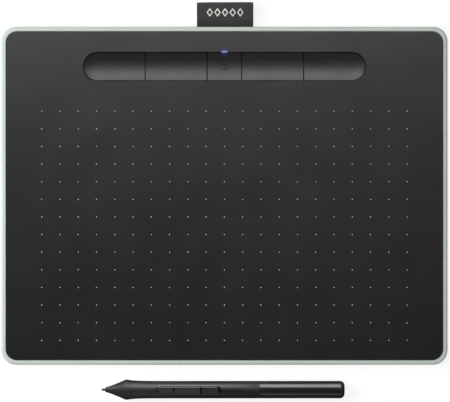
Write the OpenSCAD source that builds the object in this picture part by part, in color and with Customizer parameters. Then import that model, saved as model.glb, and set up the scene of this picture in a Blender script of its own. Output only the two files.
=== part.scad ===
// Pen drawing tablet with its battery-free pen.
// Frame: +X to the right, +Y away from the user, +Z up. The desk is Z = 0, and the origin is the
// middle of the footprint of the tablet, its fabric loop and the pen that lies in front of it.

/* [Tablet] */
// Width of the tablet, left to right
tablet_w = 264; // [262:1:280]
// Depth of the tablet, front to back, without the fabric loop
tablet_d = 200; // [198:1:206]
// Height from the desk to the cover's face
tablet_h = 8.8; // [8.8:0.1:9.4]
// Radius of the shell's corners, seen from above
corner_r = 8.6; // [8:0.2:10]
// Width of the shell's rim that shows around the cover
rim_w = 2.8; // [2.4:0.1:3]
// How far the rubber feet lift the shell off the desk
foot_lift = 0.8; // [0.6:0.1:1.0]

/* [Keys] */
// Length of the row of keys, end to end
key_row_w = 167; // [160:1:175]
// Width of the row of keys, front to back
key_row_d = 17; // [16:0.5:18]
// Distance from the tablet's back edge to the row's centre line
key_row_inset = 23.7; // [22.5:0.1:24]
// Length of the power key in the middle of the row
power_key_w = 20.5; // [18:0.5:24]
// Depth of the trough that the keys form together
scoop_depth = 2.2; // [1.6:0.1:2.4]
// How far a key goes down when it is pressed
key_travel = 0.4; // [0.2:0.05:0.4]

/* [Fabric loop] */
// Width of the loop's fabric band
loop_w = 33.4; // [28:0.2:36]
// How far the loop stands out of the tablet's back edge
loop_reach = 14.6; // [12:0.2:16]
// Thickness of the fabric
fabric_t = 1; // [0.8:0.1:1.2]

/* [Pen] */
// Length of the pen, nib to end cap
pen_l = 143.8; // [140:0.2:150]
// Diameter of the pen's barrel
barrel_d = 10.3; // [10.2:0.1:10.6]
// Diameter of the swell at the grip
grip_d = 12.1; // [11.4:0.1:12.4]
// Distance from the tablet's front edge to the pen's axis
pen_gap = 14.8; // [10:0.2:40]
// Place of the nib's tip, left of the tablet's middle
pen_tip_left = 72.7; // [60:0.1:80]
// How far the side switches go in
side_travel = 0.3; // [0.1:0.05:0.3]

/* [Hidden] */
$fn = 48;

// A hair more than a cut needs, so that no skin is left behind
over = 1;

// Places of the two halves of the object, which share one footprint centred on the origin
grip_r = grip_d / 2;
barrel_r = barrel_d / 2;
tablet_y = (pen_gap + grip_r - loop_reach) / 2;
pen_y = tablet_y - tablet_d / 2 - pen_gap;

// Heights inside the tablet, from the desk up
shell_z = foot_lift;
floor_z = shell_z + 1.4;
rim_z = tablet_h - 0.4;
cover_z = tablet_h - 1.6;
ledge_z = cover_z - 1.2;
sensor_z = cover_z - 0.8;
shield_z = sensor_z - 0.3;
board_z = floor_z + 0.7;
board_top_z = board_z + 0.8;
boss_top_z = floor_z + 2.2;
foot_top_z = shell_z + 0.6;

// The shell's walls and the cover's fit in them
shell_bottom_r = 3.4;
shell_top_r = 1.4;
wall_t = 2;
ledge_w = 4;
seat_gap = 0.25;
cover_r = corner_r - 2;
cover_w = tablet_w - 2 * rim_w;
cover_d = tablet_d - 2 * rim_w;
cover_edge_r = 0.3;

// Feet and the screws that they hide
foot_l = 26;
foot_w = 9;
foot_reach = (foot_l - foot_w) / 2;
screw_x = tablet_w / 2 - 15.5;
screw_y = tablet_d / 2 - 10;
foot_x = screw_x - foot_reach;
screw_r = 1;
screw_head_r = 1.9;
cover_boss_r = 2.5;

// Keys: one row, shaped like a stadium, cut across into five
key_y = tablet_d / 2 - key_row_inset;
key_half_d = key_row_d / 2;
row_reach = (key_row_w - key_row_d) / 2;
key_gap = 0.45;
seam = 0.6;
key_top_z = tablet_h - 0.2;
key_bottom_z = cover_z - 2.2;
key_wall = 1.2;
scoop_r = key_half_d * key_half_d / (2 * scoop_depth) + scoop_depth / 2;
scoop_centre_z = key_top_z + scoop_r - scoop_depth;
express_key_w = (key_row_w - power_key_w) / 4;
inner_seam_x = power_key_w / 2;
outer_seam_x = inner_seam_x + express_key_w;
row_end_x = key_row_w / 2;
inner_key_x = (inner_seam_x + outer_seam_x) / 2;
outer_key_x = (outer_seam_x + row_end_x - 3) / 2;
key_post_x = [-outer_key_x, -inner_key_x, inner_key_x, outer_key_x];
mark_r = 2;
mark_line = 0.48;
mark_depth = 0.2;
tab_reach = 1.2;
tab_w = 10;
tab_t = 0.9;
tab_clearance = 0.05;

// Key switches on the main board
switch_w = 4.5;
switch_h = 0.8;
plunger_r = 1;
plunger_z = board_top_z + 0.45;
plunger_top_z = board_top_z + 1.2;
post_r = 1.5;

// Status light, in the cover beside the power key's back edge
light_w = 3.4;
light_d = 0.7;
light_y = key_y + key_half_d + light_d / 2;
light_clearance = 0.08;

// Main board, a long narrow board under the keys with a tongue for the socket
board_w = 176;
board_front_y = tablet_d / 2 - 38;
board_back_y = tablet_d / 2 - 12;
board_hole_x = board_w / 2 - 4;
board_hole_y = [board_front_y + 3, board_back_y - 3];
socket_x = 45;
socket_w = 7.5;
socket_h = 2.6;
socket_z = board_z + 0.4;
socket_back_y = board_back_y + 2.3;
socket_mouth_y = tablet_d / 2 - 4.3;
port_w = 11.8;
port_h = 4.3;
port_z = floor_z + 0.2;
port_wall = 1.2;

// Sensor board under the drawing area, and the steel sheet behind it
sensor_w = 221;
sensor_front_y = -tablet_d / 2 + 11.5;
sensor_back_y = tablet_d / 2 - 43;
shield_margin = 1;
shield_back_y = sensor_back_y - 3;
sheet_corner_r = 3;

// Battery and its lead
battery_w = 60;
battery_d = 44;
battery_h = 3.4;
battery_x = -45;
battery_y = 25;
lead_r = 0.5;
lead_pitch = 2;
connector_w = 6;
connector_d = 4.5;
connector_h = 2;

// Ribbon between the sensor board and the main board
ribbon_x = 20;
ribbon_w = 20;
ribbon_t = 0.2;
ribbon_start_y = shield_back_y + 0.5;
ribbon_bend_y = sensor_back_y;
ribbon_end_y = board_front_y + 0.3;
ribbon_steps = 12;
ribbon_connector_d = 4;
ribbon_connector_h = 1.2;

// Fabric loop and what holds it
loop_half_h = 3.6;
loop_fold_r = 2.4;
loop_z = shell_z + 3.8;
loop_tip_y = tablet_d / 2 + loop_reach;
loop_neck_y = tablet_d / 2 + 4.6;
loop_root_y = tablet_d / 2 + 1.2;
hem_back_y = tablet_d / 2 + 0.2;
hem_front_y = tablet_d / 2 - 9;
slot_h = 2.6;
slot_mouth_h = 4.4;
slot_w = loop_w + 1;
clamp_w = 44;
clamp_d = 4.8;
clamp_t = 0.8;
clamp_screw_x = 19;

// Pen, along its own axis from the tip of the nib at 0
nose_x = 2.6;
nose_r = 1.45;
nose_round_r = 0.45;
crest_x = 14.6;
crest_soft = 0.15;
crest_r = grip_r + 0.6 * crest_soft;
cone_hollow = 1.15;
grip_x = crest_x + 0.2;
flare_end_x = 35;
flare_length = 4.2;
parting_x = 93.4;
parting_gap = 0.06;
end_cap_l = 2.8;
end_cap_x = pen_l - end_cap_l;
end_round_r = 2.6;
bore_r = 4.2;
chassis_r = 4.1;
chassis_bore_r = 3.2;
chassis_front_x = 17;
chassis_back_x = 118;
nib_r = 0.8;
nib_l = 20.8;
nib_bore_r = 0.95;
nib_rest_r = 0.87;
pen_tilt = atan((grip_r - barrel_r) / (end_cap_x - grip_x));
pen_tip_z = grip_r + grip_x * tan(pen_tilt);

// Side switches in their raised pad
pad_start_x = 32.2;
pad_end_x = 70.5;
pad_half_w = 2.95;
pad_bevel_w = 0.7;
pad_bevel_h = 0.4;
pad_top_z = barrel_r + 0.3;
switch_start_x = 33.3;
switch_end_x = 69.6;
switch_split_x = 58.8;
switch_half_w = 2.2;
switch_clearance = 0.25;
switch_split_gap = 0.5;
switch_bevel_w = 0.4;
switch_bevel_h = 0.25;
lower_top_z = pad_top_z + 0.45;
upper_top_z = pad_top_z + 0.6;
groove_x = 42.7;
groove_half_w = 0.45;
groove_d = 0.8;
dish_r = 40;
dish_d = 0.3;
flange_half_w = 2.5;
flange_z = 2.7;
flange_t = 0.5;
stem_r = 0.9;
stem_z = 1.15;
lower_stem_x = 46;
upper_stem_x = 64.3;
dome_w = 3.4;
pen_board_half_t = 0.4;

// ---------------------------------------------------------------------------
// Shapes that repeat

// Rounded rectangle
module rounded_outline(w, d, r) {
    square([w - 2 * r, d], center = true);
    square([w, d - 2 * r], center = true);
    for (x = [-1, 1], y = [-1, 1])
        translate([x * (w / 2 - r), y * (d / 2 - r)]) circle(r);
}

// Flat plate between two heights
module plate(w, d, r, z0, z1) {
    translate([0, 0, z0]) linear_extrude(z1 - z0) rounded_outline(w, d, r);
}

// Pill outline along X
module pill_outline(l, w) {
    square([l - w, w], center = true);
    for (s = [-1, 1]) translate([s * (l - w) / 2, 0]) circle(w / 2);
}

// Box from its two corners
module block(low, high) {
    translate(low) cube(high - low);
}

// Carries a section, drawn outwards from a corner's centre line, round a rounded rectangle
module around(w, d, r) {
    for (k = [0:3]) {
        a = (k % 2 == 0 ? w : d) / 2 - r;
        b = (k % 2 == 0 ? d : w) / 2 - r;
        rotate(90 * k) translate([a, b, 0]) {
            rotate_extrude(angle = 90) children();
            rotate([90, 0, 0]) linear_extrude(2 * b) children();
        }
    }
}

// Carries a section, drawn outwards from the centre line, round a stadium along X
module stadium_sweep(reach) {
    for (turn = [0, 180])
        rotate(turn) translate([reach, 0, 0]) rotate(-90) rotate_extrude(angle = 180) children();
    rotate([90, 0, 90]) translate([0, 0, -reach]) linear_extrude(2 * reach) {
        children();
        mirror([1, 0]) children();
    }
}

// Half section of a slab, its lower and upper edges rounded
module slab_section(r, z0, z1, low_r, high_r) {
    translate([0, z0]) square([r - low_r, z1 - z0 - high_r]);
    translate([0, z0 + low_r]) square([r, z1 - z0 - low_r - high_r]);
    translate([0, z1 - high_r - 0.1]) square([r - high_r, high_r + 0.1]);
    if (low_r > 0) translate([r - low_r, z0 + low_r]) circle(low_r);
    translate([r - high_r, z1 - high_r]) circle(high_r);
}

// Slab with rounded corners and rounded edges
module slab(w, d, r, z0, z1, low_r, high_r) {
    around(w, d, r) slab_section(r, z0, z1, low_r, high_r);
    block([-w / 2 + r, -d / 2 + r, z0], [w / 2 - r, d / 2 - r, z1]);
}

// Upright cylinder between two heights
module post(r, z0, z1) {
    translate([0, 0, z0]) cylinder(r = r, h = z1 - z0);
}

// Places on the tablet: the four corner screws and the four board screws
module at_corners() {
    for (x = [-1, 1], y = [-1, 1]) translate([x * screw_x, y * screw_y, 0]) children();
}

module at_board_holes() {
    for (x = [-1, 1], y = board_hole_y) translate([x * board_hole_x, y, 0]) children();
}

module at_feet() {
    for (x = [-1, 1], y = [-1, 1]) translate([x * foot_x, y * screw_y, 0]) children();
}

module on_tablet() {
    translate([0, tablet_y, 0]) children();
}

// ---------------------------------------------------------------------------
// Tablet: casing

module shell_cavity() {
    plate(tablet_w - 2 * (rim_w - seat_gap), tablet_d - 2 * (rim_w - seat_gap),
          cover_r + seat_gap, cover_z, tablet_h + over);
    plate(tablet_w - 2 * ledge_w, tablet_d - 2 * ledge_w, corner_r - ledge_w + 1, ledge_z, tablet_h);
    plate(tablet_w - 2 * wall_t, tablet_d - 2 * wall_t, corner_r - wall_t, floor_z, ledge_z);
}

module battery_ribs() {
    reach_x = battery_w / 2 + 0.4;
    reach_y = battery_d / 2 + 0.4;
    translate([battery_x, battery_y, floor_z])
        for (x = [-1, 1], y = [-1, 1]) mirror([x < 0 ? 1 : 0, 0]) mirror([0, y < 0 ? 1 : 0]) {
            translate([reach_x, reach_y - 8, -0.1]) cube([1.2, 9.2, 2.4]);
            translate([reach_x - 8, reach_y, -0.1]) cube([8.2, 1.2, 2.4]);
        }
}

// Ribs that hold the shield plate up from below
module support_ribs() {
    rib_t = 1.2;
    low = floor_z - 0.1;
    high = shield_z - 0.1;
    reach = sensor_w / 2 - 6;
    for (y = [-75, -50, -25]) block([-reach, y, low], [reach, y + rib_t, high]);
    for (y = [5, 38]) block([0, y, low], [reach, y + rib_t, high]);
    for (x = [-70, 0, 70]) block([x, -75, low], [x + rib_t, -24, high]);
}

module loop_seat() {
    block([-slot_w / 2, hem_front_y, floor_z - 0.1],
          [slot_w / 2, tablet_d / 2 - wall_t + 0.5, loop_z - fabric_t]);
    for (x = [-1, 1])
        translate([x * clamp_screw_x, hem_front_y + clamp_d / 2, 0])
            post(2.2, floor_z - 0.1, loop_z + fabric_t);
}

module loop_slot() {
    wall_y = tablet_d / 2 - wall_t - 0.5;
    block([-slot_w / 2, wall_y, loop_z - fabric_t], [slot_w / 2, tablet_d / 2 + over, loop_z + slot_h / 2]);
    mouth = [tablet_d / 2 + over, slot_mouth_h / 2];
    throat = [tablet_d / 2 - 1.2, slot_h / 2];
    translate([-slot_w / 2, 0, loop_z]) rotate([90, 0, 90]) linear_extrude(slot_w)
        polygon([[throat.x, -throat.y], [mouth.x, -mouth.y], mouth, throat]);
}

module port_housing() {
    block([socket_x - port_w / 2 - port_wall, socket_mouth_y - 0.7, floor_z - 0.1],
          [socket_x + port_w / 2 + port_wall, tablet_d / 2 - wall_t + 0.5, ledge_z + 0.1]);
}

module port_cut() {
    block([socket_x - port_w / 2, socket_mouth_y - over - 0.7, port_z],
          [socket_x + port_w / 2, tablet_d / 2 + over, port_z + port_h]);
}

module back_shell() {
    color([0.745, 0.815, 0.76]) difference() {
        union() {
            difference() {
                slab(tablet_w, tablet_d, corner_r, shell_z, rim_z, shell_bottom_r, shell_top_r);
                shell_cavity();
            }
            at_corners() post(3.5, shell_z + 0.1, boss_top_z);
            at_board_holes() post(2.2, floor_z - 0.1, board_z);
            battery_ribs();
            support_ribs();
            loop_seat();
            port_housing();
        }
        at_feet() translate([0, 0, shell_z - over]) linear_extrude(foot_top_z - shell_z + over)
            pill_outline(foot_l + 0.2, foot_w + 0.2);
        at_corners() post(2.2, shell_z, floor_z + 0.6);
        at_corners() post(1.2, shell_z, boss_top_z + over);
        at_board_holes() post(0.86, floor_z - 0.5, board_z + over);
        for (x = [-1, 1])
            translate([x * clamp_screw_x, hem_front_y + clamp_d / 2, 0])
                post(0.86, floor_z + 0.4, loop_z + fabric_t + over);
        loop_slot();
        port_cut();
        plate(72, 34, 2, shell_z - over, shell_z + 0.2);
    }
}

// Section of the opening that the keys fill, its upper edge bevelled
module pocket_section() {
    wall = key_half_d;
    bevel = 0.25;
    polygon([[0, cover_z - over], [wall, cover_z - over], [wall, tablet_h - bevel],
             [wall + bevel + over, tablet_h + over], [0, tablet_h + over]]);
}

// Snap hook under the cover's edge, for an edge that faces +X
module snap_hook(edge_x) {
    leg_x = edge_x - ledge_w - 1.2;
    block([leg_x, -4, ledge_z - 1], [leg_x + 1, 4, cover_z + 0.1]);
    block([leg_x, -4, ledge_z - 1], [edge_x - ledge_w + 0.8, 4, ledge_z - 0.15]);
}

module snap_hooks() {
    for (y = [-50, 0, 50]) translate([0, y, 0]) {
        snap_hook(tablet_w / 2);
        mirror([1, 0]) snap_hook(tablet_w / 2);
    }
    for (x = [-78, 0, 78]) translate([x, 0, 0]) rotate(-90) snap_hook(tablet_d / 2);
    for (x = [-78, 78]) translate([x, 0, 0]) rotate(90) snap_hook(tablet_d / 2);
}

module front_cover() {
    color([0.2, 0.2, 0.205]) difference() {
        union() {
            slab(cover_w, cover_d, cover_r, cover_z, tablet_h, 0, cover_edge_r);
            at_corners() post(cover_boss_r, boss_top_z, cover_z + 0.1);
            snap_hooks();
        }
        translate([0, key_y, 0]) stadium_sweep(row_reach) pocket_section();
        at_corners() post(screw_r + 0.05, boss_top_z - over, cover_z - 0.4);
        block([-light_w / 2 - light_clearance, key_y, cover_z - over],
              [light_w / 2 + light_clearance, light_y + light_d / 2 + light_clearance, tablet_h + over]);
    }
}

module rubber_feet() {
    color([0.33, 0.34, 0.34]) at_feet() {
        linear_extrude(foot_top_z) pill_outline(foot_l, foot_w);
    }
}

// Pan-head screw, pointing up, its head's lower face at z0
module screw(r, head_r, z0, head_h, tip_z) {
    difference() {
        post(head_r, z0, z0 + head_h);
        for (turn = [0, 90]) rotate(turn)
            translate([-head_r * 0.6, -0.15, z0 - over]) cube([head_r * 1.2, 0.3, over + head_h / 2]);
    }
    post(r, z0 + head_h, tip_z);
}

module case_screws() {
    color([0.55, 0.56, 0.57]) at_corners() screw(screw_r, screw_head_r, floor_z - 0.7, 1.3, cover_z - 0.6);
}

// Screw pointing down, its head resting at z0
module small_screw(z0, tip_z) {
    translate([0, 0, z0]) mirror([0, 0, 1]) screw(0.8, 1.5, -0.7, 0.7, z0 - tip_z);
}

module board_screws() {
    color([0.55, 0.56, 0.57]) at_board_holes() small_screw(board_top_z, floor_z - 0.4);
}

module rating_plate() {
    color([0.8, 0.81, 0.8]) plate(71.4, 33.4, 1.7, shell_z + 0.05, shell_z + 0.2);
}

// ---------------------------------------------------------------------------
// Tablet: keys

// Section of a key, outwards from the row's centre line; the shell form is open below
module key_section(hollow) {
    half = key_half_d - key_gap;
    difference() {
        translate([0, key_bottom_z]) square([half, key_top_z - key_bottom_z]);
        translate([0, scoop_centre_z]) circle(scoop_r);
        if (hollow) difference() {
            translate([-over, key_bottom_z - over])
                square([half - key_wall + over, key_top_z - key_bottom_z]);
            translate([0, scoop_centre_z]) circle(scoop_r + key_wall);
        }
    }
}

module key_row(hollow) {
    translate([0, key_y, 0]) stadium_sweep(row_reach) key_section(hollow);
}

// Slice of the row between two places along X, with closed ends
module key_slice(x0, x1) {
    low = [0, key_y - key_row_d, 0];
    high = [0, key_y + key_row_d, tablet_h + over];
    intersection() {
        key_row(true);
        block([x0, 0, 0] + low, [x1, 0, 0] + high);
    }
    for (span = [[x0, x0 + key_wall], [x1 - key_wall, x1]]) intersection() {
        key_row(false);
        block([span[0], 0, 0] + low, [span[1], 0, 0] + high);
    }
}

// Tabs under the cover that keep a key in, and the post over its switch
module key_fittings(post_x, tab_x) {
    wall = key_half_d - key_gap;
    for (x = tab_x, y = [-1, 1]) mirror([0, y < 0 ? 1 : 0])
        translate([x - tab_w / 4, y < 0 ? -key_y : key_y, 0])
            block([0, wall - key_wall, cover_z - tab_clearance - tab_t],
                  [tab_w / 2, wall + tab_reach, cover_z - tab_clearance]);
    translate([post_x, key_y, 0]) post(post_r, plunger_top_z, scoop_centre_z - scoop_r - 0.2);
}

module express_key(index) {
    starts = [-row_end_x, -outer_seam_x, inner_seam_x, outer_seam_x];
    x0 = starts[index - 1] + (index == 1 ? 0 : seam / 2);
    x1 = starts[index - 1] + express_key_w - (index == 4 ? 0 : seam / 2);
    centre = key_post_x[index - 1];
    color([0.27, 0.27, 0.275]) {
        key_slice(x0, x1);
        key_fittings(centre, [centre - 10, centre + 10]);
    }
}

// Power mark: a broken ring and a bar, sunk into the key's face
module power_mark() {
    translate([0, key_y - 0.1, scoop_centre_z - scoop_r - mark_depth]) linear_extrude(3) {
        difference() {
            circle(mark_r);
            circle(mark_r - mark_line);
            translate([-mark_line * 1.5, 0]) square([mark_line * 3, mark_r + over]);
        }
        translate([-mark_line / 2, 0.4 * mark_r]) square([mark_line, 0.85 * mark_r]);
    }
}

module power_key() {
    reach = inner_seam_x - seam / 2;
    color([0.27, 0.27, 0.275]) {
        difference() {
            key_slice(-reach, reach);
            power_mark();
        }
        key_fittings(0, [-6.5, 6.5]);
    }
}

module switch_plunger(x) {
    color([0.85, 0.8, 0.7]) translate([x, key_y, 0]) post(plunger_r, plunger_z, plunger_top_z);
}

// Light bar in the edge of the keys' opening, with the flange that glues it under the cover
module status_light_pipe() {
    back_y = light_y + light_d / 2;
    flange_x = light_w / 2 + 0.8;
    color([0.35, 0.45, 0.95]) {
        block([-light_w / 2, back_y - light_d, board_top_z + 0.7], [light_w / 2, back_y, tablet_h - 0.05]);
        block([-flange_x, back_y - light_d / 2, cover_z - 0.8], [flange_x, back_y + 2, cover_z]);
    }
}

// ---------------------------------------------------------------------------
// Tablet: electronics

module status_led() {
    color([0.9, 0.9, 0.85]) translate([0, light_y, board_top_z]) linear_extrude(0.6)
        square([1.6, 0.8], center = true);
}

module key_switches() {
    color([0.15, 0.15, 0.16]) for (x = concat(key_post_x, [0]))
        translate([x, key_y, board_top_z]) difference() {
            linear_extrude(switch_h) square(switch_w, center = true);
            post(plunger_r + 0.1, -over, switch_h + over);
        }
}

module main_board() {
    color([0.06, 0.07, 0.07]) difference() {
        translate([0, 0, board_z]) linear_extrude(board_top_z - board_z) {
            translate([-board_w / 2, board_front_y]) square([board_w, board_back_y - board_front_y]);
            translate([socket_x - 7, board_back_y - over]) square([14, socket_back_y - board_back_y + over]);
        }
        at_board_holes() post(0.95, board_z - over, board_top_z + over);
    }
}

module controller_chips() {
    color([0.1, 0.1, 0.11]) {
        translate([-47, key_y, board_top_z]) linear_extrude(0.8) square(7, center = true);
        translate([12, key_y, board_top_z]) linear_extrude(0.7) square([5, 6], center = true);
        translate([47, key_y + 1, board_top_z]) linear_extrude(0.8) square([6, 5], center = true);
    }
}

module wireless_module() {
    color([0.72, 0.73, 0.74]) translate([-74, board_front_y + 2.9, board_top_z]) linear_extrude(1.4)
        rounded_outline(14, 5, 0.4);
}

// Metal shell of the socket with its contact tongue
module usb_socket() {
    color([0.76, 0.77, 0.78]) {
        difference() {
            block([socket_x - socket_w / 2, socket_back_y, socket_z],
                  [socket_x + socket_w / 2, socket_mouth_y, socket_z + socket_h]);
            block([socket_x - socket_w / 2 + 0.3, socket_back_y + 1, socket_z + 0.3],
                  [socket_x + socket_w / 2 - 0.3, socket_mouth_y + over, socket_z + socket_h - 0.3]);
        }
        block([socket_x - 1.9, socket_back_y + 0.9, socket_z + 1.4],
              [socket_x + 1.9, socket_mouth_y - 0.6, socket_z + 1.9]);
    }
}

module battery() {
    color([0.7, 0.72, 0.75]) translate([battery_x, battery_y, 0])
        plate(battery_w, battery_d, 2, floor_z, floor_z + battery_h);
}

module battery_connector() {
    color([0.92, 0.9, 0.84]) translate([battery_x, board_front_y + 0.4, board_top_z])
        linear_extrude(connector_h) translate([-connector_w / 2, 0]) square([connector_w, connector_d]);
}

module battery_lead() {
    for (side = [-1, 1])
        color(side < 0 ? [0.7, 0.1, 0.1] : [0.1, 0.1, 0.1])
            translate([battery_x + side * lead_pitch / 2, board_front_y + 0.4, board_top_z + connector_h / 2])
                rotate([90, 0, 0]) cylinder(r = lead_r, h = board_front_y + 0.4 - battery_y - battery_d / 2);
}

module ribbon_connector() {
    color([0.9, 0.88, 0.8]) block([ribbon_x - ribbon_w / 2 - 1, ribbon_end_y, board_top_z],
        [ribbon_x + ribbon_w / 2 + 1, ribbon_end_y + ribbon_connector_d, board_top_z + ribbon_connector_h]);
}

// The ribbon's underside at a share of its fall from the sensor board to the connector
function ribbon_drop(share) = let (
        high = sensor_z - ribbon_t,
        low = board_top_z + ribbon_connector_h / 2
    ) low + (high - low) * (1 + cos(180 * share)) / 2;

module ribbon_cable() {
    run = ribbon_end_y - ribbon_bend_y;
    shares = [for (i = [0:ribbon_steps]) i / ribbon_steps];
    under = [for (share = shares) [ribbon_bend_y + run * share, ribbon_drop(share)]];
    top = [for (i = [ribbon_steps:-1:0]) under[i] + [0, ribbon_t]];
    start = [[ribbon_start_y, sensor_z], [ribbon_start_y, sensor_z - ribbon_t]];
    color([0.86, 0.84, 0.78]) translate([ribbon_x - ribbon_w / 2, 0, 0]) rotate([90, 0, 90])
        linear_extrude(ribbon_w) polygon(concat(start, under, top));
}

// Flat sheet under the drawing area
module sensor_sheet(margin, back_y, z0, z1) {
    front_y = sensor_front_y + margin;
    translate([0, (front_y + back_y) / 2, 0])
        plate(sensor_w - 2 * margin, back_y - front_y, sheet_corner_r, z0, z1);
}

module sensor_board() {
    color([0.1, 0.3, 0.24]) sensor_sheet(0, sensor_back_y, sensor_z, cover_z);
}

module shield_plate() {
    color([0.7, 0.71, 0.72]) sensor_sheet(shield_margin, shield_back_y, shield_z, sensor_z);
}

// ---------------------------------------------------------------------------
// Tablet: fabric loop

// The loop seen from its side, inset from its outside: a fold with round corners, straight flanks,
// and flanks that close in on the root
module loop_side(inset, root) {
    half = loop_half_h - inset;
    r = loop_fold_r - inset;
    fold_y = loop_tip_y - loop_fold_r;
    for (side = [-1, 1]) translate([fold_y, loop_z + side * (half - r)]) circle(r);
    translate([loop_neck_y, loop_z - half]) square([fold_y - loop_neck_y, 2 * half]);
    translate([loop_neck_y, loop_z - half + r]) square([loop_tip_y - inset - loop_neck_y, 2 * (half - r)]);
    polygon(concat([[loop_neck_y, loop_z - half], [loop_neck_y, loop_z + half]], root));
}

module pen_loop() {
    outer_root = [[loop_root_y, loop_z + fabric_t], [loop_root_y, loop_z - fabric_t]];
    inner_root = [[loop_root_y + fabric_t, loop_z]];
    color([0.21, 0.21, 0.215]) translate([-loop_w / 2, 0, 0]) rotate([90, 0, 90]) linear_extrude(loop_w)
        difference() {
            loop_side(0, outer_root);
            loop_side(fabric_t, inner_root);
        }
}

module loop_hem() {
    color([0.21, 0.21, 0.215])
        block([-loop_w / 2, hem_front_y, loop_z - fabric_t], [loop_w / 2, hem_back_y, loop_z + fabric_t]);
}

module loop_clamp() {
    color([0.7, 0.71, 0.72]) difference() {
        translate([-clamp_w / 2, hem_front_y, loop_z + fabric_t]) cube([clamp_w, clamp_d, clamp_t]);
        for (x = [-1, 1])
            translate([x * clamp_screw_x, hem_front_y + clamp_d / 2, 0]) post(0.95, loop_z, cover_z);
    }
}

module clamp_screws() {
    color([0.55, 0.56, 0.57]) for (x = [-1, 1])
        translate([x * clamp_screw_x, hem_front_y + clamp_d / 2, 0])
            small_screw(loop_z + fabric_t + clamp_t, floor_z + 0.6);
}

// ---------------------------------------------------------------------------
// Pen. Its parts are drawn along +X from the nib's tip, and rest on the grip and the tail

module on_desk() {
    translate([-pen_tip_left, pen_y, pen_tip_z]) rotate([0, pen_tilt, 0]) children();
}

// Turns a profile of [radius, place along the pen] about the pen's axis
module turned(profile) {
    rotate([0, 90, 0]) rotate_extrude() polygon(profile);
}

// Round bar or bore along the pen
module rod(r, x0, x1) {
    translate([x0, 0, 0]) rotate([0, 90, 0]) cylinder(r = r, h = x1 - x0);
}

// Radius of the cone in front of the grip's crest, and of the flare that thins out behind it
function cone_r(x) = nose_r + (crest_r - nose_r) * pow((x - nose_x) / (crest_x - nose_x), cone_hollow);
function flare_r(x) = barrel_r + (crest_r - barrel_r) * exp(-(x - crest_x) / flare_length);

// The smaller of the two, eased over the crest
function front_r(x) = -crest_soft * ln(exp(-cone_r(x) / crest_soft) + exp(-flare_r(x) / crest_soft));

module front_barrel_outside() {
    nose = [for (a = [0:15:90]) [nose_r - nose_round_r * (1 - sin(a)), nose_x - nose_round_r * cos(a)]];
    places = concat(
        [for (x = [nose_x + 1.5:1.5:crest_x - 1.2]) x],
        [for (x = [crest_x - 1:0.25:crest_x + 1.5]) x],
        [for (x = [crest_x + 2.5:1.5:flare_end_x]) x]);
    turned(concat(
        [[0, nose_x - nose_round_r]],
        nose,
        [for (x = places) [front_r(x), x]],
        [[barrel_r, flare_end_x + 1], [barrel_r, parting_x], [0, parting_x]]));
}

module front_barrel_inside() {
    rod(nib_bore_r, 0, 8);
    rod(2.15, 7.5, 11);
    rod(2.95, 10.2, 17);
    rod(bore_r, 16.5, parting_x + over);
}

// Raised pad with bevelled edges round the side switches
module switch_pad() {
    reach = (pad_end_x - pad_start_x) / 2 - pad_half_w;
    translate([(pad_start_x + pad_end_x) / 2, 0, 0]) stadium_sweep(reach)
        bevelled_section(pad_half_w, 2, pad_top_z, pad_bevel_w, pad_bevel_h);
}

// Half section of a pad whose upper edge is cut away by a slope
module bevelled_section(half, z0, z1, slope_w, slope_h) {
    polygon([[0, z0], [half, z0], [half, z1 - slope_h], [half - slope_w, z1], [0, z1]]);
}

// Outline of the side switches' slot, or of a switch when it is inset
module switch_outline(inset) {
    translate([(switch_start_x + switch_end_x) / 2, 0])
        pill_outline(switch_end_x - switch_start_x - 2 * inset, 2 * (switch_half_w - inset));
}

module pen_front_barrel() {
    color([0.23, 0.23, 0.235]) difference() {
        union() {
            front_barrel_outside();
            switch_pad();
        }
        front_barrel_inside();
        linear_extrude(grip_d) switch_outline(0);
    }
}

module pen_rear_barrel() {
    color([0.26, 0.26, 0.265]) difference() {
        rod(barrel_r, parting_x + parting_gap, end_cap_x);
        rod(bore_r, parting_x, end_cap_x + over);
    }
}

// Cap of the tail. The blind hole in its spigot pulls worn nibs out
module pen_end_cap() {
    arc = [for (i = [0:6]) let (a = 15 * i)
        [barrel_r - end_round_r * (1 - cos(a)), pen_l - end_round_r * (1 - sin(a))]];
    color([0.13, 0.13, 0.135]) difference() {
        union() {
            turned(concat([[0, end_cap_x], [barrel_r, end_cap_x]], arc, [[0, pen_l]]));
            rod(bore_r - 0.05, end_cap_x - 5, end_cap_x + 0.1);
        }
        rod(nib_bore_r, end_cap_x - 5 - over, end_cap_x - 1);
    }
}

// Nib from its rounded tip at a place along the pen, with a slight waist behind the tip
module nib(x0) {
    tip_r = 0.7;
    waist_r = 0.6;
    translate([x0, 0, 0]) {
        translate([tip_r, 0, 0]) sphere(tip_r);
        turned([[0, tip_r], [tip_r, tip_r], [waist_r, 1.5], [nib_r, 2.6], [nib_r, nib_l], [0, nib_l]]);
    }
}

module pen_nib() {
    color([0.08, 0.08, 0.085]) nib(0);
}

module at_nib_holders() {
    for (turn = [90, 210, 330]) rotate([turn, 0, 0]) translate([0, 2.1, 0]) children();
}

module spare_nibs() {
    color([0.08, 0.08, 0.085]) at_nib_holders()
        translate([chassis_back_x + 2.2, 0, 0]) rotate([0, 0, 180]) nib(0);
}

module nib_plunger() {
    color([0.75, 0.75, 0.72]) difference() {
        rod(chassis_bore_r - 0.1, 18, 23.6);
        rod(nib_rest_r, 18 - over, nib_l + 0.2);
    }
}

module pressure_sensor() {
    color([0.3, 0.3, 0.32]) rod(chassis_bore_r - 0.05, 24.4, 30);
}

module ferrite_core() {
    color([0.2, 0.2, 0.21]) difference() {
        rod(2.05, 8, 16.6);
        rod(nib_bore_r, 8 - over, 17);
    }
}

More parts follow.
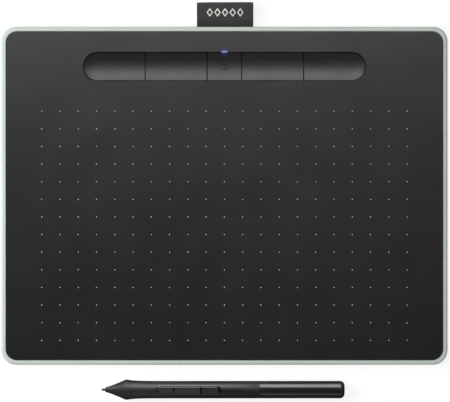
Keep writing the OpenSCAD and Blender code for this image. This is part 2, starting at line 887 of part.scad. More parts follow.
module antenna_coil() {
    color([0.72, 0.42, 0.2]) difference() {
        rod(2.85, 10.7, 16.3);
        rod(2.08, 10, 17);
    }
}

module pen_board() {
    color([0.12, 0.36, 0.22]) block([31, -2.4, -pen_board_half_t], [88, 2.4, pen_board_half_t]);
}

module side_switch_domes() {
    color([0.8, 0.8, 0.8]) for (x = [lower_stem_x, upper_stem_x]) difference() {
        translate([x, 0, pen_board_half_t]) linear_extrude(0.9) square([dome_w, dome_w], center = true);
        translate([x, 0, 0]) post(stem_r + 0.15, 0, 3);
    }
}

// Tube inside the barrel that carries the board, and the spare nibs in its tail
module pen_chassis() {
    color([0.2, 0.2, 0.2]) difference() {
        rod(chassis_r, chassis_front_x, chassis_back_x);
        rod(chassis_bore_r, chassis_front_x - over, 90);
        block([switch_start_x - 1, -2.7, 0], [switch_end_x + 1, 2.7, barrel_r]);
        at_nib_holders() rod(nib_rest_r, chassis_back_x + 2 - nib_l, chassis_back_x + over);
    }
}

// A side switch between two places along the pen, with its flange and its stem
module side_switch(x0, x1, stem_x, top_z) {
    reach = (switch_end_x - switch_start_x) / 2 - switch_half_w;
    intersection() {
        union() {
            translate([(switch_start_x + switch_end_x) / 2, 0, 0]) stadium_sweep(reach)
                bevelled_section(switch_half_w - switch_clearance, flange_z + flange_t, top_z,
                                 switch_bevel_w, switch_bevel_h);
            block([switch_start_x + 0.5, -flange_half_w, flange_z],
                  [switch_end_x - 0.5, flange_half_w, flange_z + flange_t]);
        }
        block([x0, -3, 0], [x1, 3, grip_r + 1]);
    }
    translate([stem_x, 0, 0]) post(stem_r, stem_z, flange_z + 0.1);
}

// Groove across the lower switch's face, to find it by touch
module side_switch_lower() {
    half = switch_half_w - switch_clearance - switch_bevel_w;
    color([0.17, 0.17, 0.175]) difference() {
        side_switch(pad_start_x, switch_split_x - switch_split_gap / 2, lower_stem_x, lower_top_z);
        block([groove_x - groove_half_w, -half, lower_top_z - groove_d],
              [groove_x + groove_half_w, half, lower_top_z + over]);
    }
}

// Dish in the upper switch's face, inside its bevel
module side_switch_upper() {
    color([0.17, 0.17, 0.175]) difference() {
        side_switch(switch_split_x + switch_split_gap / 2, pad_end_x, upper_stem_x, upper_top_z);
        intersection() {
            translate([(switch_split_x + switch_end_x) / 2, 0, upper_top_z - dish_d + dish_r])
                rotate([90, 0, 0]) cylinder(r = dish_r, h = grip_d, center = true, $fn = 96);
            linear_extrude(grip_d) switch_outline(switch_clearance + switch_bevel_w);
        }
    }
}

// ---------------------------------------------------------------------------

on_tablet() back_shell();
on_tablet() front_cover();
for (i = [1:4]) {
    on_tablet() express_key(i);
    on_tablet() switch_plunger(key_post_x[i - 1]);
}
on_tablet() power_key();
on_tablet() switch_plunger(0);  // power_plunger
on_tablet() status_light_pipe();
on_tablet() status_led();
on_tablet() key_switches();
on_tablet() main_board();
on_tablet() controller_chips();
on_tablet() wireless_module();
on_tablet() usb_socket();
on_tablet() battery();
on_tablet() battery_lead();
on_tablet() battery_connector();
on_tablet() ribbon_connector();
on_tablet() ribbon_cable();
on_tablet() sensor_board();
on_tablet() shield_plate();
on_tablet() rubber_feet();
on_tablet() case_screws();
on_tablet() board_screws();
on_tablet() rating_plate();
on_tablet() pen_loop();
on_tablet() loop_hem();
on_tablet() loop_clamp();
on_tablet() clamp_screws();
on_desk() pen_front_barrel();
on_desk() pen_rear_barrel();
on_desk() pen_end_cap();
on_desk() pen_nib();
on_desk() nib_plunger();
on_desk() side_switch_lower();
on_desk() side_switch_upper();
on_desk() side_switch_domes();
on_desk() pen_board();
on_desk() pen_chassis();
on_desk() pressure_sensor();
on_desk() ferrite_core();
on_desk() antenna_coil();
on_desk() spare_nibs();
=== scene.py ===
"""Pen drawing tablet with its pen, dressed for a studio view from straight above.

Everything is in metres in the row frame: +X right, +Y away from the user, +Z up, the desk at Z = 0.
"""

import math

import bmesh
import bpy
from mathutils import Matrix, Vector


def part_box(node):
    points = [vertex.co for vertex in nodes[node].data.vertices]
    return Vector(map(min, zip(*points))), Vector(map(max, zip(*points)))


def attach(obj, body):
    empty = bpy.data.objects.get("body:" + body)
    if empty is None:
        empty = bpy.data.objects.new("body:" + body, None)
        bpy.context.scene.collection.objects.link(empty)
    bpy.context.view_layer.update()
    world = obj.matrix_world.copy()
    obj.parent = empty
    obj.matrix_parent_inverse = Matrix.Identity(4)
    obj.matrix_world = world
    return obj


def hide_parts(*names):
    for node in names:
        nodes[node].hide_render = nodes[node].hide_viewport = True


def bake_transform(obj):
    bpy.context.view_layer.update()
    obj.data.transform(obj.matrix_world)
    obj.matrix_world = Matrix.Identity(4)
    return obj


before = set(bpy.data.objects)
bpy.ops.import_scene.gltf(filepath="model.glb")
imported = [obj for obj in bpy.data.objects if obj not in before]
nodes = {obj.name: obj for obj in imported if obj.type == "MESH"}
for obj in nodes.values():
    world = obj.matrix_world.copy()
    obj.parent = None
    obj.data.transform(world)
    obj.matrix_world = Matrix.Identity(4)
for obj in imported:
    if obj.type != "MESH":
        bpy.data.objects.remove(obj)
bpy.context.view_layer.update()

MM = 0.001

cover_low, cover_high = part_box("front_cover")
tablet_x = (cover_low[0] + cover_high[0]) / 2
tablet_y = (cover_low[1] + cover_high[1]) / 2
cover_top = cover_high[2]


def srgb(red, green, blue):
    """Linear colour of a screen colour given from 0 to 255."""
    def linear(value):
        value /= 255
        return value / 12.92 if value <= 0.04045 else ((value + 0.055) / 1.055) ** 2.4
    return (linear(red), linear(green), linear(blue), 1.0)


def scaled(colour, factor):
    return tuple(min(1.0, channel * factor) for channel in colour[:3]) + (1.0,)


# ---------------------------------------------------------------------------
# Materials


class Look:
    """A Principled material that is built up in layers, with sizes in metres of the row frame."""

    def __init__(self, name, colour, roughness, **sockets):
        self.material = bpy.data.materials.new(name)
        self.material.use_nodes = True
        self.tree = self.material.node_tree
        self.shader = self.tree.nodes["Principled BSDF"]
        self.colour = colour
        self.colour_socket = None
        self.height = None
        self.shader.inputs["Base Color"].default_value = colour
        self.shader.inputs["Roughness"].default_value = roughness
        self.roughness = roughness
        for socket, value in sockets.items():
            self.shader.inputs[socket.replace("_", " ")].default_value = value
        self.place = self.node("ShaderNodeTexCoord").outputs["Object"]

    def node(self, kind, inputs=(), **settings):
        made = self.tree.nodes.new(kind)
        for key, value in settings.items():
            setattr(made, key, value)
        for key, value in dict(inputs).items():
            if isinstance(value, bpy.types.NodeSocket):
                self.tree.links.new(value, made.inputs[key])
            else:
                made.inputs[key].default_value = value
        return made

    def math(self, operation, first, second=0.0):
        return self.node("ShaderNodeMath", {0: first, 1: second}, operation=operation).outputs[0]

    def scaled_place(self, size, stretch=(1, 1, 1)):
        scale = tuple(1 / (size * part) for part in stretch)
        return self.node("ShaderNodeMapping", {"Vector": self.place, "Scale": scale}).outputs[0]

    def noise(self, size, detail=2.0, stretch=(1, 1, 1)):
        inputs = {"Vector": self.scaled_place(size, stretch), "Scale": 1.0, "Detail": detail}
        return self.node("ShaderNodeTexNoise", inputs).outputs["Fac"]

    def cells(self, size):
        inputs = {"Vector": self.scaled_place(size), "Scale": 1.0}
        return self.node("ShaderNodeTexVoronoi", inputs).outputs["Distance"]

    def ranged(self, value, low, high, to_low=0.0, to_high=1.0):
        inputs = {"Value": value, "From Min": low, "From Max": high, "To Min": to_low, "To Max": to_high}
        return self.node("ShaderNodeMapRange", inputs).outputs["Result"]

    def mixed(self, share, first, second):
        made = self.node("ShaderNodeMix", data_type="RGBA")
        for index, value in ((0, share), (6, first), (7, second)):
            if isinstance(value, bpy.types.NodeSocket):
                self.tree.links.new(value, made.inputs[index])
            else:
                made.inputs[index].default_value = value
        return made.outputs[2]

    def tint(self, share, colour):
        """Mixes another colour in over what is there."""
        below = self.colour_socket if self.colour_socket is not None else self.colour
        self.colour_socket = self.mixed(share, below, colour)
        self.tree.links.new(self.colour_socket, self.shader.inputs["Base Color"])
        return self

    def mottle(self, size, amount, stretch=(1, 1, 1)):
        """Uneven colour: the same colour a little darker and lighter in patches of that size."""
        share = self.ranged(self.noise(size, 3.0, stretch), 0.3, 0.7)
        self.tint(self.math("MULTIPLY", share, 0.5), scaled(self.colour, 1 + 2 * amount))
        return self.tint(self.math("MULTIPLY", self.math("SUBTRACT", 1.0, share), 0.5),
                         scaled(self.colour, 1 - 2 * amount))

    def rub(self, size, amount, stretch=(1, 1, 1)):
        """Uneven gloss, as handling leaves it."""
        share = self.noise(size, 4.0, stretch)
        value = self.ranged(share, 0.3, 0.7, self.roughness - amount, self.roughness + amount)
        self.tree.links.new(value, self.shader.inputs["Roughness"])
        return self

    def inside(self, low, high, soft):
        """1 inside a box of X and Y, fading to 0 over soft beyond its edges."""
        axes = self.node("ShaderNodeSeparateXYZ", {0: self.place}).outputs
        shares = []
        for axis in (0, 1):
            middle, half = (low[axis] + high[axis]) / 2, (high[axis] - low[axis]) / 2
            away = self.math("ABSOLUTE", self.math("SUBTRACT", axes[axis], middle))
            shares.append(self.ranged(away, half, half + soft, 1.0, 0.0))
        return self.math("MULTIPLY", *shares)

    def inside_pill(self, low, high, soft):
        """1 inside a pill outline along X, fading to 0 over soft beyond its edge, on upper faces only."""
        axes = self.node("ShaderNodeSeparateXYZ", {0: self.place}).outputs
        radius = (high[1] - low[1]) / 2
        reach = (high[0] - low[0]) / 2 - radius
        along = self.math("ABSOLUTE", self.math("SUBTRACT", axes[0], (low[0] + high[0]) / 2))
        beyond = self.math("MAXIMUM", self.math("SUBTRACT", along, reach), 0.0)
        aside = self.math("SUBTRACT", axes[1], (low[1] + high[1]) / 2)
        squares = [self.math("MULTIPLY", part, part) for part in (beyond, aside)]
        distance = self.math("SQRT", self.math("ADD", *squares))
        near = self.ranged(distance, radius, radius + soft, 1.0, 0.0)
        return self.math("MULTIPLY", near, self.ranged(axes[2], low[2], low[2] + soft))

    def polish(self, share, roughness):
        """Sets another roughness where share is 1."""
        link = self.shader.inputs["Roughness"].links
        below = link[0].from_socket if link else self.roughness
        value = self.node("ShaderNodeMix", {0: share, 2: below, 3: roughness}).outputs[0]
        self.tree.links.new(value, self.shader.inputs["Roughness"])
        return self

    def relief(self, height, depth):
        """Raises the surface by depth where height is 1."""
        inputs = {"Height": height, "Distance": depth, "Strength": 1.0}
        if self.height is not None:
            inputs["Normal"] = self.height
        self.height = self.node("ShaderNodeBump", inputs).outputs["Normal"]
        self.tree.links.new(self.height, self.shader.inputs["Normal"])
        return self

    def grain(self, size, depth, stretch=(1, 1, 1)):
        return self.relief(self.noise(size, 2.0, stretch), depth)

    def glow(self, centre, reach, colour, strength):
        """Light that has spread in the plastic round a lamp."""
        ends = {0: self.place, 1: centre}
        distance = self.node("ShaderNodeVectorMath", ends, operation="DISTANCE").outputs["Value"]
        near = self.ranged(distance, 0.0, reach, 1.0, 0.0)
        self.shader.inputs["Emission Color"].default_value = colour
        power = self.math("MULTIPLY", self.math("POWER", near, 3.0), strength)
        self.tree.links.new(power, self.shader.inputs["Emission Strength"])
        return self


def dress(look, *names):
    """Gives CAD nodes or pieces one material all over."""
    for name in names:
        mesh = (nodes[name] if isinstance(name, str) else name).data
        mesh.materials.clear()
        mesh.materials.append(look.material)


def round_edges(width, *names):
    """Takes the edges sharper than 35 degrees off CAD nodes."""
    for name in names:
        weld = nodes[name].modifiers.new("weld", "WELD")
        weld.merge_threshold = 0.002 * MM
        bevel = nodes[name].modifiers.new("edge", "BEVEL")
        bevel.width = width
        bevel.segments = 2
        bevel.limit_method = "ANGLE"
        bevel.angle_limit = math.radians(35)
        bevel.use_clamp_overlap = True
        bevel.harden_normals = False
        smooth = nodes[name].modifiers.new("smooth", "WEIGHTED_NORMAL")
        smooth.keep_sharp = False


light_low, light_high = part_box("status_light_pipe")
lamp = ((light_low[0] + light_high[0]) / 2, light_low[1], cover_top)
LAMP_BLUE = (0.05, 0.09, 1.0, 1.0)
GLOW_REACH = 4.4 * MM
GLOW_STRENGTH = 0.34


def cover_look():
    look = Look("cover_black_satin", srgb(13.5, 11.6, 12.4), 0.4, Specular_IOR_Level=0.52)
    look.mottle(0.04, 0.04).rub(0.03, 0.02)
    look.grain(0.35 * MM, 0.006 * MM).grain(0.12 * MM, 0.003 * MM)
    return look.glow(lamp, GLOW_REACH, LAMP_BLUE, GLOW_STRENGTH)


def key_look():
    look = Look("key_black_satin", srgb(16, 15.5, 16), 0.5, Specular_IOR_Level=0.4)
    look.mottle(0.02, 0.05).rub(0.012, 0.03)
    look.grain(0.3 * MM, 0.004 * MM)
    return look.glow(lamp, GLOW_REACH, LAMP_BLUE, GLOW_STRENGTH)


def shell_look():
    look = Look("shell_pale_green", srgb(190, 201, 192), 0.5, Specular_IOR_Level=0.2)
    look.mottle(0.05, 0.015).rub(0.02, 0.04)
    return look.grain(0.4 * MM, 0.006 * MM)


def rubber_look(name, colour, size):
    look = Look(name, colour, 0.72, Specular_IOR_Level=0.3)
    look.mottle(0.006, 0.08).rub(0.004, 0.05)
    return look.relief(look.cells(size), 0.03 * MM)


def pen_look():
    """Soft black, with a glossier pad round the side switches, a duller back and a paler grip."""
    look = Look("pen_soft_black", srgb(17, 17, 17.5), 0.45, Specular_IOR_Level=0.4)
    look.mottle(0.015, 0.05).rub(0.01, 0.03)
    look.grain(0.15 * MM, 0.003 * MM)
    left, front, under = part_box("side_switch_lower")[0]
    right, back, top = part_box("side_switch_upper")[1]
    rim, margin, aside = 1.25 * MM, 0.48 * MM, 10 * MM
    pad_fade, back_fade, grip_fade = 0.15 * MM, 13 * MM, 30 * MM
    pad_low = (left - rim, front - margin, (under + top) / 2)
    pad = look.inside_pill(pad_low, (right + rim, back + margin), pad_fade)
    duller = look.inside((right + 22 * MM, front - aside), (right + 60 * MM, back + aside), back_fade)
    look.polish(duller, 0.62).polish(pad, 0.22)
    grip = look.inside((left - 45 * MM, front - aside), (left - 6 * MM, back + aside), grip_fade)
    return look.tint(grip, srgb(34, 34, 34.5))


def pen_tail_look():
    look = Look("pen_gloss_black", srgb(20, 20, 20.5), 0.28, Specular_IOR_Level=0.55)
    look.mottle(0.02, 0.03).rub(0.03, 0.006)
    return look.grain(0.2 * MM, 0.0004 * MM)


def trim_look(name, colour, roughness=0.42):
    look = Look(name, colour, roughness, Specular_IOR_Level=0.45)
    look.mottle(0.008, 0.06).rub(0.006, 0.04)
    return look.grain(0.2 * MM, 0.003 * MM)


def switch_look(name, node, tone, shade_lines):
    """Trim with dark stripes of painted shade across it, in its groove and at the split, at places along
    the switch from its left end.
    """
    look = trim_look(name, srgb(tone, tone, tone + 1), 0.3)
    low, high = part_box(node)
    for place, half_width in shade_lines:
        left, right = low[0] + place - half_width, low[0] + place + half_width
        # Painted shade: a dark stripe across the switch at each place.
        look.tint(look.inside((left, low[1]), (right, high[1]), 0.1 * MM), srgb(10, 10, 10))
    return look


def metal_look(name, colour, roughness, stretch=(12, 1, 1)):
    look = Look(name, colour, roughness, Metallic=1.0)
    look.mottle(0.003, 0.06, stretch).rub(0.001, 0.08, stretch)
    return look.grain(0.12 * MM, 0.003 * MM, stretch)


def board_look(name, mask, trace):
    """Solder mask with traces showing through and pads in rows."""
    look = Look(name, mask, 0.5, Specular_IOR_Level=0.2)
    look.mottle(0.02, 0.08)
    lanes = look.noise(0.9 * MM, 1.0, (6, 1, 1))
    traces = look.ranged(look.math("ABSOLUTE", look.math("SUBTRACT", lanes, 0.5)), 0.02, 0.035, 1.0, 0.0)
    look.tint(look.math("MULTIPLY", traces, 0.6), trace)
    pads = look.ranged(look.cells(2.4 * MM), 0.12, 0.15, 1.0, 0.0)
    look.tint(look.math("MULTIPLY", pads, 0.5), srgb(150, 136, 96))
    return look.relief(look.math("ADD", traces, pads), 0.02 * MM)


def sensor_look():
    """Sensing board: crossing loops of copper under a dark mask."""
    look = Look("sensor_green", srgb(14, 60, 40), 0.35)
    look.mottle(0.05, 0.05)
    pitch = 5 * MM
    for axis in (0, 1):
        along = look.node("ShaderNodeSeparateXYZ", {0: look.place}).outputs[axis]
        wave = look.math("SINE", look.math("MULTIPLY", along, 2 * math.pi / pitch))
        line = look.ranged(look.math("ABSOLUTE", wave), 0.04, 0.12, 1.0, 0.0)
        look.tint(look.math("MULTIPLY", line, 0.55), srgb(140, 110, 58))
    return look


def plastic_look(name, colour, roughness=0.5):
    look = Look(name, colour, roughness)
    look.mottle(0.004, 0.05).rub(0.003, 0.04)
    return look.grain(0.1 * MM, 0.003 * MM)


def foil_look():
    look = Look("battery_foil", srgb(168, 170, 174), 0.36, Metallic=0.85)
    look.mottle(0.01, 0.06).rub(0.008, 0.08)
    return look.grain(3 * MM, 0.05 * MM)


def light_look():
    look = Look("light_bar", srgb(124, 126, 184), 0.3)
    core = look.noise(1.2 * MM, 1.0)
    look.shader.inputs["Emission Color"].default_value = (0.48, 0.51, 0.9, 1.0)
    look.tree.links.new(look.ranged(core, 0.2, 0.8, 0.17, 0.28), look.shader.inputs["Emission Strength"])
    return look


def dress_cad():
    dress(cover_look(), "front_cover")
    dress(key_look(), "power_key", *[f"express_key_{i}" for i in range(1, 5)])
    dress(shell_look(), "back_shell")
    dress(rubber_look("foot_rubber", srgb(74, 77, 76), 0.6 * MM), "rubber_feet")
    dress(pen_look(), "pen_front_barrel")
    dress(pen_tail_look(), "pen_rear_barrel")
    dress(trim_look("pen_cap_black", srgb(22, 22, 23), 0.4), "pen_end_cap")
    groove, lower_end, upper_end = (9.15 * MM, 0.4 * MM), (25.0 * MM, 0.2 * MM), (0.0, 0.2 * MM)
    lower_shade_lines, upper_shade_lines = [groove, lower_end], [upper_end]
    dress(switch_look("lower_switch_black", "side_switch_lower", 44, lower_shade_lines), "side_switch_lower")
    # The upper switch's darker tone, 37 against 44, is painted shade for its dished face.
    dress(switch_look("upper_switch_black", "side_switch_upper", 37, upper_shade_lines), "side_switch_upper")
    dress(plastic_look("nib_black", srgb(12, 12, 12.5), 0.5), "pen_nib", "spare_nibs")
    dress(plastic_look("chassis_black", srgb(20, 20, 21)), "pen_chassis")
    dress(plastic_look("plunger_ivory", srgb(222, 212, 186)), "nib_plunger", "power_plunger",
          *[f"key_plunger_{i}" for i in range(1, 5)])
    dress(plastic_look("switch_charcoal", srgb(42, 42, 44)), "key_switches")
    dress(plastic_look("chip_black", srgb(24, 24, 26), 0.38), "controller_chips", "pressure_sensor")
    dress(plastic_look("connector_cream", srgb(226, 220, 200)), "battery_connector", "ribbon_connector")
    dress(plastic_look("ribbon_amber", srgb(190, 150, 80), 0.35), "ribbon_cable")
    dress(plastic_look("rating_silver", srgb(186, 189, 187), 0.45), "rating_plate")
    dress(plastic_look("led_white", srgb(236, 234, 220), 0.25), "status_led")
    dress(light_look(), "status_light_pipe")
    dress(board_look("board_black", srgb(8, 9, 9), srgb(16, 18, 18)), "main_board")
    dress(board_look("board_green", srgb(7, 32, 18), srgb(14, 50, 28)), "pen_board")
    dress(sensor_look(), "sensor_board")
    dress(foil_look(), "battery")
    dress(metal_look("steel_plain", srgb(176, 178, 181), 0.32), "shield_plate", "wireless_module",
          "usb_socket", "loop_clamp", "side_switch_domes")
    dress(metal_look("screw_steel", srgb(150, 152, 156), 0.36, (1, 1, 1)), "case_screws", "board_screws",
          "clamp_screws")
    dress(metal_look("ferrite_grey", srgb(66, 66, 70), 0.6, (1, 1, 1)), "ferrite_core")
    dress(rubber_look("lead_red", srgb(160, 28, 26), 0.2 * MM), "battery_lead")
    coil = metal_look("coil_copper", srgb(196, 116, 66), 0.35, (1, 8, 8))
    dress(coil, "antenna_coil")


dress_cad()
round_edges(0.12 * MM, *[f"express_key_{i}" for i in range(1, 5)])
round_edges(0.25 * MM, "rubber_feet")

# ---------------------------------------------------------------------------
# Pieces


def piece(name, mesh_points, faces, body, look):
    """Makes a mesh that rides on a body, or on none."""
    mesh = bpy.data.meshes.new(name)
    mesh.from_pydata(mesh_points, [], faces)
    mesh.update()
    made = bpy.data.objects.new(name, mesh)
    bpy.context.scene.collection.objects.link(made)
    dress(look, made)
    if body:
        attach(made, body)
    return made


def smooth(made):
    for polygon in made.data.polygons:
        polygon.use_smooth = True


def apply_modifiers(made):
    """Fixes the shape that the modifiers give."""
    evaluated = made.evaluated_get(bpy.context.evaluated_depsgraph_get())
    final = bpy.data.meshes.new_from_object(evaluated)
    made.modifiers.clear()
    made.data = final


def slab(points, faces, left, right, low_z, high_z):
    """Adds a flat band between two lines of (x, y) points, closed all round."""
    first = len(points)
    for left_point, right_point in zip(left, right):
        points += [(*left_point, low_z), (*right_point, low_z)]
        points += [(*right_point, high_z), (*left_point, high_z)]
    for step in range(len(left) - 1):
        here = first + 4 * step
        for corner in range(4):
            after = (corner + 1) % 4
            faces.append([here + corner, here + after, here + 4 + after, here + 4 + corner])
    last = len(points) - 4
    faces += [[first, first + 3, first + 2, first + 1], [last, last + 1, last + 2, last + 3]]


def face_outwards(made):
    shape = bmesh.new()
    shape.from_mesh(made.data)
    bmesh.ops.recalc_face_normals(shape, faces=shape.faces[:])
    shape.to_mesh(made.data)
    shape.free()


def power_mark():
    """A dark fill in the sunk mark on the power key, a broken ring and a bar: painted shade for the shade
    in the sunk mark.
    """
    key_low, key_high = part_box("power_key")
    mark_offset, mark_drop = 0.1 * MM, 2.6 * MM
    sunk, rise = 0.02 * MM, 0.04 * MM
    middle_x = (key_low[0] + key_high[0]) / 2
    middle_y = (key_low[1] + key_high[1]) / 2 - mark_offset
    mark_z = cover_top - mark_drop
    low_z, high_z = mark_z - sunk, mark_z + rise
    outer_r, inner_r, steps = 1.97 * MM, 1.55 * MM, 36
    gap_half_angle = math.radians(26)
    points, faces = [], []
    start, sweep = math.pi / 2 + gap_half_angle, math.tau - 2 * gap_half_angle
    turns = [start + sweep * step / steps for step in range(steps + 1)]
    rings = [[(middle_x + r * math.cos(turn), middle_y + r * math.sin(turn)) for turn in turns]
             for r in (outer_r, inner_r)]
    slab(points, faces, *rings, low_z, high_z)
    bar_half_w, bar_y = 0.21 * MM, (middle_y + 0.83 * MM, middle_y + 2.47 * MM)
    sides = [[(middle_x + side * bar_half_w, y) for y in bar_y] for side in (-1, 1)]
    slab(points, faces, *sides, low_z, high_z)
    # Painted shade: a dark sheet laid in the sunk mark, where the real key has only shade.
    mark_shade = Look("mark_painted_shade", srgb(9, 9, 9), 0.6, Specular_IOR_Level=0.2)
    mark_shade.mottle(0.001, 0.05)
    made = piece("power_mark_painted_shade", points, faces, "power", mark_shade)
    face_outwards(made)
    return made


def grid_dots():
    """Printed dots over the drawing area, each a thin disc of ink."""
    columns, rows = 21, 14
    pitch_x, pitch_y = 10.8 * MM, 10.42 * MM
    front_y = -85.5 * MM
    radius, sides = 0.3 * MM, 12
    lift, sunk = 0.02 * MM, 0.05 * MM
    points, faces = [], []
    for column in range(columns):
        for row in range(rows):
            x = tablet_x + (column - (columns - 1) / 2) * pitch_x
            y = tablet_y + front_y + row * pitch_y
            first = len(points)
            for z in (cover_top - sunk, cover_top + lift):
                for side in range(sides):
                    turn = 2 * math.pi * side / sides
                    points.append((x + radius * math.cos(turn), y + radius * math.sin(turn), z))
            faces.append([first + sides + side for side in range(sides)])
            faces.append([first + side for side in reversed(range(sides))])
            for side in range(sides):
                after = (side + 1) % sides
                faces.append([first + side, first + after, first + sides + after, first + sides + side])
    ink = Look("dot_ink", srgb(190, 190, 187), 0.6)
    ink.mottle(0.02, 0.06)
    return piece("drawing_area_dots", points, faces, "tablet", ink)


# The fabric loop: its middle layer goes out of the shell, round the fold and back in
loop_low, loop_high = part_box("pen_loop")
hem_low, hem_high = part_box("loop_hem")
loop_z = (loop_low[2] + loop_high[2]) / 2
loop_half = (loop_high[2] - loop_low[2]) / 2
loop_width = loop_high[0] - loop_low[0]
FABRIC = 0.92 * MM
loop_flank = loop_half - 0.5 * MM
fold_r = 1.9 * MM
fold_y = loop_high[1] - 0.5 * MM - fold_r
root_y = loop_low[1]
loop_shift = 0.4 * MM
neck_y = root_y + 3.4 * MM


def eased(share):
    return share * share * (3 - 2 * share)


def loop_path():
    """Points (y, z) of the fabric's middle layer, evenly enough spaced to bend smoothly."""
    flat_z = 0.5 * MM
    upper = [(hem_low[1] + 0.5 * MM, flat_z), (hem_high[1] - 2 * MM, flat_z), (hem_high[1], flat_z)]
    upper += [(root_y + 0.1 * MM, flat_z + 0.06 * MM)]
    neck_steps, flank_steps, corner_steps = 8, 5, 7
    for step in range(1, neck_steps + 1):
        share = step / neck_steps
        upper.append((root_y + share * (neck_y - root_y), flat_z + eased(share) * (loop_flank - flat_z)))
    for step in range(1, flank_steps):
        upper.append((neck_y + step / flank_steps * (fold_y - neck_y), loop_flank))
    for step in range(corner_steps + 1):
        turn = math.pi / 2 * step / corner_steps
        upper.append((fold_y + fold_r * math.sin(turn), loop_flank - fold_r + fold_r * math.cos(turn)))
    lower = [(y, -z) for y, z in reversed(upper)]
    return [(y, loop_z + z) for y, z in upper + [(fold_y + fold_r, 0)] + lower]


def weave_look():
    """Close plain weave with ribs across the band, with painted shade between the threads and where the
    band goes into the shell.
    """
    look = Look("loop_weave", srgb(58, 57, 56), 0.85, Specular_IOR_Level=0.2, Sheen_Weight=0.1,
                Sheen_Roughness=0.5)
    uv = look.node("ShaderNodeUVMap", uv_map="weave").outputs["UV"]
    parts = look.node("ShaderNodeSeparateXYZ", {0: uv})
    across_pitch, along_pitch = 0.62 * MM, 0.5 * MM
    across = look.math("SINE", look.math("MULTIPLY", parts.outputs[0], 2 * math.pi / across_pitch))
    along = look.math("SINE", look.math("MULTIPLY", parts.outputs[1], 2 * math.pi / along_pitch))
    weave = look.math("MULTIPLY", across, along)
    height = look.ranged(weave, -1.0, 1.0)
    look.mottle(0.004, 0.1)
    # Painted shade: the low parts of the weave, between the threads, are darkened.
    look.tint(look.ranged(height, 0.0, 0.5, 0.55, 0.0), srgb(24, 24, 24))
    # Painted shade where the band goes into the shell, with a green cast as a painted reflection of the
    # pale green shell.
    painted_shade_y = look.node("ShaderNodeSeparateXYZ", {0: look.place}).outputs[1]
    look.tint(look.ranged(painted_shade_y, hem_high[1], hem_high[1] + 1.3 * MM, 0.85, 0.0), srgb(16, 20, 17))
    look.relief(height, 0.09 * MM)
    return look.grain(0.15 * MM, 0.02 * MM)


def fabric_wave(share):
    """How far the band rises and falls across its width, where share runs from 0 to 1."""
    return math.sin(share * 9.0 + 1.3) * 0.07 * MM + math.sin(share * 21.0) * 0.03 * MM


def fabric_loop():
    """One band of fabric along the path, wavy outside the shell and thickened at the end."""
    path = loop_path()
    lengths = [0.0]
    for (y0, z0), (y1, z1) in zip(path, path[1:]):
        lengths.append(lengths[-1] + math.hypot(y1 - y0, z1 - z0))
    across = 34
    opening_y = 6 * MM
    points = []
    for (y, z), run in zip(path, lengths):
        outside = max(0.0, min(1.0, (y - root_y) / opening_y))
        for column in range(across + 1):
            share = column / across
            x = loop_low[0] + loop_shift + share * loop_width
            wave = fabric_wave(share)
            edge = abs(2 * share - 1) ** 6 * 0.12 * MM
            side = 1 if z > loop_z else -1
            skew = (share - 0.5) * 0.25 * MM
            points.append((x, y + outside * (skew * 0.5 - edge), z + side * outside * (wave - edge)))
    faces = []
    for step in range(len(path) - 1):
        for column in range(across):
            corner = step * (across + 1) + column
            faces.append([corner, corner + 1, corner + across + 2, corner + across + 1])
    made = piece("pen_loop_fabric", points, faces, None, weave_look())
    uv = made.data.uv_layers.new(name="weave")
    for loop in made.data.loops:
        step, column = divmod(loop.vertex_index, across + 1)
        uv.data[loop.index].uv = (column / across * loop_width, lengths[step])
    thick = made.modifiers.new("thick", "SOLIDIFY")
    thick.thickness = FABRIC
    thick.offset = 0
    edge = made.modifiers.new("edge", "BEVEL")
    edge.width = 0.2 * MM
    edge.segments = 2
    edge.limit_method = "ANGLE"
    edge.angle_limit = math.radians(50)
    apply_modifiers(made)
    smooth(made)
    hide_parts("pen_loop", "loop_hem")
    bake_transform(made)
    return made


def diamond_row():
    """Row of embroidered diamonds across the loop: each a band of raised thread round a diamond."""
    count, pitch = 5, 4.5 * MM
    half_x, half_y, thread = 1.55 * MM, 2.1 * MM, 0.28 * MM
    middle_y = (neck_y + fold_y) / 2
    base_z = loop_high[2] - 0.06 * MM
    profile = [(-1, -1), (-1, 0.2), (-0.6, 0.8), (0, 1), (0.6, 0.8), (1, 0.2), (1, -1)]
    rise = 0.14 * MM
    slant = math.hypot(half_x, half_y)
    points, faces = [], []
    for index in range(count):
        x = (loop_low[0] + loop_high[0]) / 2 + loop_shift + (index - (count - 1) / 2) * pitch
        first = len(points)
        for corner_x, corner_y in ((1, 0), (0, 1), (-1, 0), (0, -1)):
            for across, up in profile:
                reach_x = half_x + across * thread * slant / half_y
                reach_y = half_y + across * thread * slant / half_x
                place_x = x + corner_x * reach_x
                wave = fabric_wave((place_x - loop_shift - loop_low[0]) / loop_width)
                points.append((place_x, middle_y + corner_y * reach_y, base_z + wave + up * rise))
        ring = len(profile)
        for corner in range(4):
            here, after = first + corner * ring, first + (corner + 1) % 4 * ring
            for step in range(ring):
                step_after = (step + 1) % ring
                faces.append([here + step, here + step_after, after + step_after, after + step])
    thread_look = Look("embroidery_thread", srgb(224, 224, 221), 0.6, Sheen_Weight=0.2,
                       Sheen_Roughness=0.4)
    thread_look.mottle(0.002, 0.05)
    thread_look.relief(thread_look.noise(0.14 * MM, 1.0, (6, 1, 1)), 0.03 * MM)
    made = piece("loop_diamonds", points, faces, "loop", thread_look)
    smooth(made)
    return made


power_mark()
grid_dots()
fabric_loop()
diamond_row()

# ---------------------------------------------------------------------------
# Stage, light and camera


def area_light(name, place, size, power):
    """A rectangle of white light that looks at the origin and is not seen itself."""
    data = bpy.data.lights.new(name, "AREA")
    data.shape = "RECTANGLE"
    data.size, data.size_y = size
    data.energy = power
    light = bpy.data.objects.new(name, data)
    bpy.context.scene.collection.objects.link(light)
    light.location = place
    light.visible_camera = False
    light.rotation_euler = (Vector() - Vector(place)).to_track_quat("-Z", "Y").to_euler()
    return light


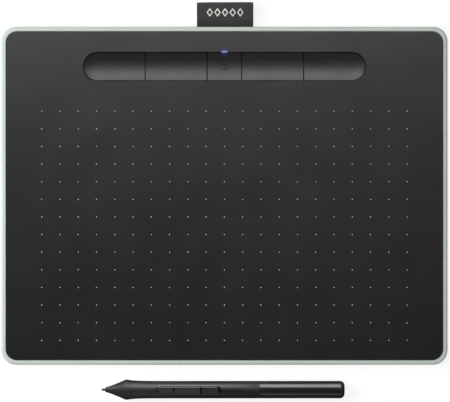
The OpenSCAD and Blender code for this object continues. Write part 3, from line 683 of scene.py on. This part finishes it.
def see_through_from_below(look):
    """Lets the underside of the object be seen through the floor."""
    output = look.tree.nodes["Material Output"]
    side = look.node("ShaderNodeNewGeometry").outputs["Backfacing"]
    clear = look.node("ShaderNodeBsdfTransparent").outputs["BSDF"]
    both = look.node("ShaderNodeMixShader", {0: side, 1: look.shader.outputs["BSDF"], 2: clear})
    look.tree.links.new(both.outputs["Shader"], output.inputs["Surface"])


def studio():
    """A pale floor just under the feet, and soft lights that each give either shading or reflections."""
    floor_size, floor_drop = 12, 0.03 * MM
    bpy.ops.mesh.primitive_plane_add(size=floor_size, location=(0, 0, -floor_drop))
    floor = bpy.context.object
    floor.name = "floor"
    paper = Look("floor_paper", (0.25, 0.25, 0.25, 1), 0.9, Specular_IOR_Level=0.1)
    paper.mottle(0.5, 0.004)
    paper.shader.inputs["Emission Color"].default_value = (1, 1, 1, 1)
    paper.shader.inputs["Emission Strength"].default_value = 0.8
    see_through_from_below(paper)
    # Sampling the floor as a lamp draws the diagonal of its plane on the shell just above it
    paper.material.cycles.emission_sampling = "NONE"
    dress(paper, floor)
    floor.visible_glossy = False

    world = bpy.data.worlds.new("studio")
    world.use_nodes = True
    background = world.node_tree.nodes["Background"].inputs
    background["Color"].default_value = (1, 1, 1, 1)
    background["Strength"].default_value = 0.08
    bpy.context.scene.world = world

    back = area_light("back_light", (-0.3, 1.0, 0.55), (1.6, 0.6), 18)
    back.visible_diffuse = False
    strip = area_light("near_strip", (-0.02, 0.3, 0.42), (0.7, 0.15), 3.4)
    strip.visible_diffuse = False
    fill = area_light("left_light", (-0.7, 0.1, 0.45), (0.5, 0.8), 7)
    fill.visible_glossy = False
    overhead = area_light("overhead_light", (0, 0, 1.2), (1.4, 1.4), 9)
    overhead.visible_glossy = False
    front = area_light("front_light", (0.1, -1.1, 0.55), (1.6, 0.6), 2.3)
    front.visible_diffuse = False
    bpy.context.scene.view_settings.view_transform = "Standard"


def camera():
    """A long lens straight above the tablet, far enough away to see it without perspective."""
    distance, view_width, sensor_width = 2.5, 0.26604, 36
    aim_x, aim_y = tablet_x + 0.35 * MM, tablet_y - 3.13 * MM
    data = bpy.data.cameras.new("camera")
    data.sensor_width = sensor_width
    data.lens = sensor_width * distance / view_width
    data.clip_end = 20
    eye = bpy.data.objects.new("camera", data)
    bpy.context.scene.collection.objects.link(eye)
    eye.location = (aim_x, aim_y, cover_top + distance)
    bpy.context.scene.camera = eye


studio()
camera()
